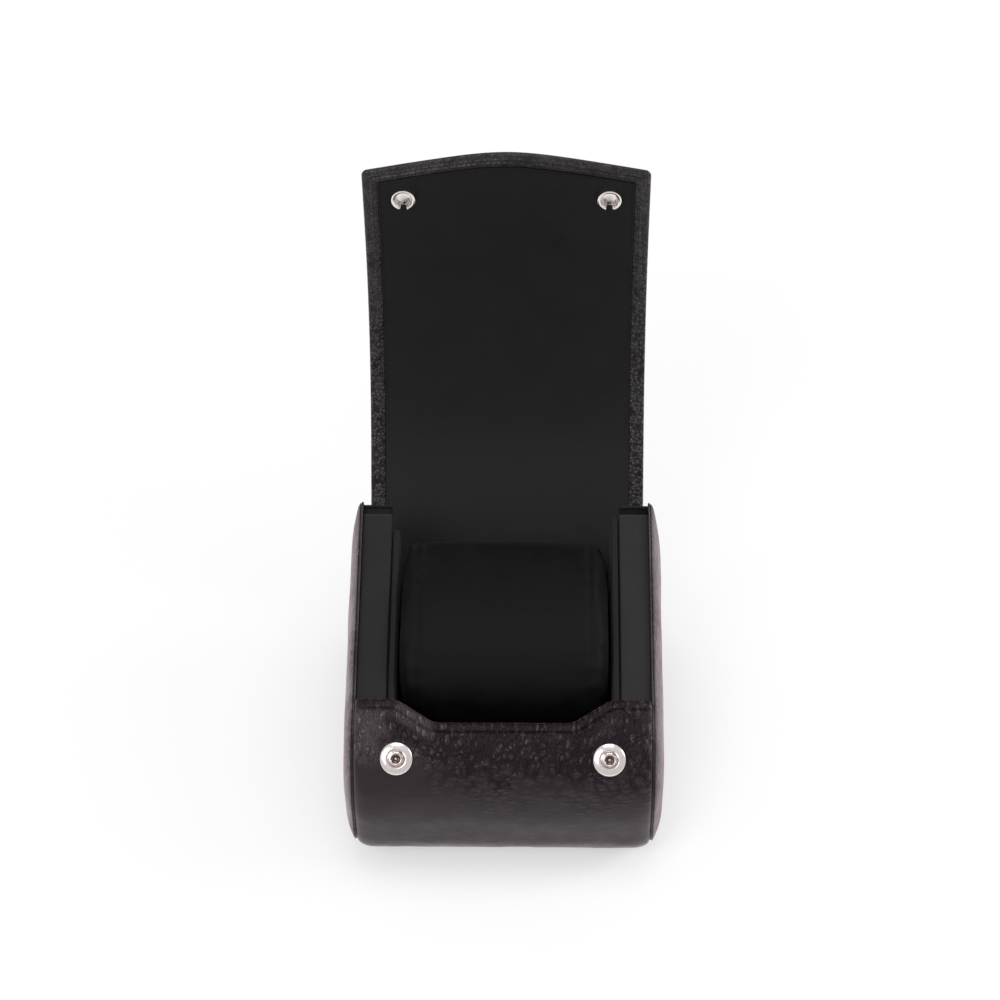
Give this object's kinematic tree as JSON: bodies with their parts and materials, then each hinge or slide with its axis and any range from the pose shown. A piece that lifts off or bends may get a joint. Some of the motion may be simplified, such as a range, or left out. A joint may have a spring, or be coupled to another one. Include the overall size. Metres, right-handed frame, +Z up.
{
  "type": "watch display case",
  "caption": "Leather case for one watch: a wrap with a notched front panel, padded ends, a roll cushion and a long flap that folds over and snaps shut.",
  "frame": {"origin": "centre of the flat base, on the surface that the case stands on", "axes": "+Z up, -Y towards the notched front panel, +X across the case to the right when seen from the front"},
  "size_m": [0.1018, 0.1668, 0.1564],
  "materials": {
    "grained_leather": "pebbled black, low sheen",
    "smooth_lining": "smooth black, matt",
    "pressed_board": "pressed board, hidden inside the leather",
    "foam": "dark foam padding, hidden inside the leather",
    "polished_nickel": "polished nickel plate"
  },
  "bodies": {
    "case": {"wrap_leather": "grained_leather", "front_board": "pressed_board", "base_board": "pressed_board", "back_board": "pressed_board", "tray_lining": "smooth_lining", "wall_lining_left": "smooth_lining", "wall_lining_right": "smooth_lining", "wall_core_left": "foam", "wall_core_right": "foam", "inner_board_left": "smooth_lining", "inner_board_right": "smooth_lining", "side_leather_left": "grained_leather", "side_leather_right": "grained_leather", "side_pad_left": "foam", "side_pad_right": "foam", "stud_left": "polished_nickel", "stud_right": "polished_nickel", "stud_washer_left": "polished_nickel", "stud_washer_right": "polished_nickel"},
    "cushion": {"cushion": "smooth_lining"},
    "flap_back": {"flap_leather_back": "grained_leather", "flap_lining_back": "smooth_lining"},
    "flap_lid": {"flap_leather_lid": "grained_leather", "flap_lining_lid": "smooth_lining"},
    "flap_tab": {"flap_leather_tab": "grained_leather", "flap_lining_tab": "smooth_lining", "socket_left": "polished_nickel", "socket_right": "polished_nickel", "socket_cap_left": "polished_nickel", "socket_cap_right": "polished_nickel"}
  },
  "joints": [
    {"name": "flap_fold", "type": "hinge", "parent": "case", "child": "flap_back", "pos_m": [0, 0.04738, 0.0235], "axis": [1, 0, 0], "range_deg": [0, 46]},
    {"name": "lid_fold", "type": "hinge", "parent": "flap_back", "child": "flap_lid", "pos_m": [0, 0.07676, 0.05393], "axis": [1, 0, 0], "range_deg": [0, 76]},
    {"name": "tab_bend", "type": "hinge", "parent": "flap_lid", "child": "flap_tab", "pos_m": [0, 0.10995, 0.12151], "axis": [1, 0, 0], "range_deg": [0, 9.54]},
    {"name": "cushion_lift", "type": "slide", "parent": "case", "child": "cushion", "axis": [0, 0, 1], "range_m": [0, 0.002]}
  ],
  "couplings": [
    {"joint": "lid_fold", "follows": "flap_fold", "ratio": 1.6507}
  ]
}
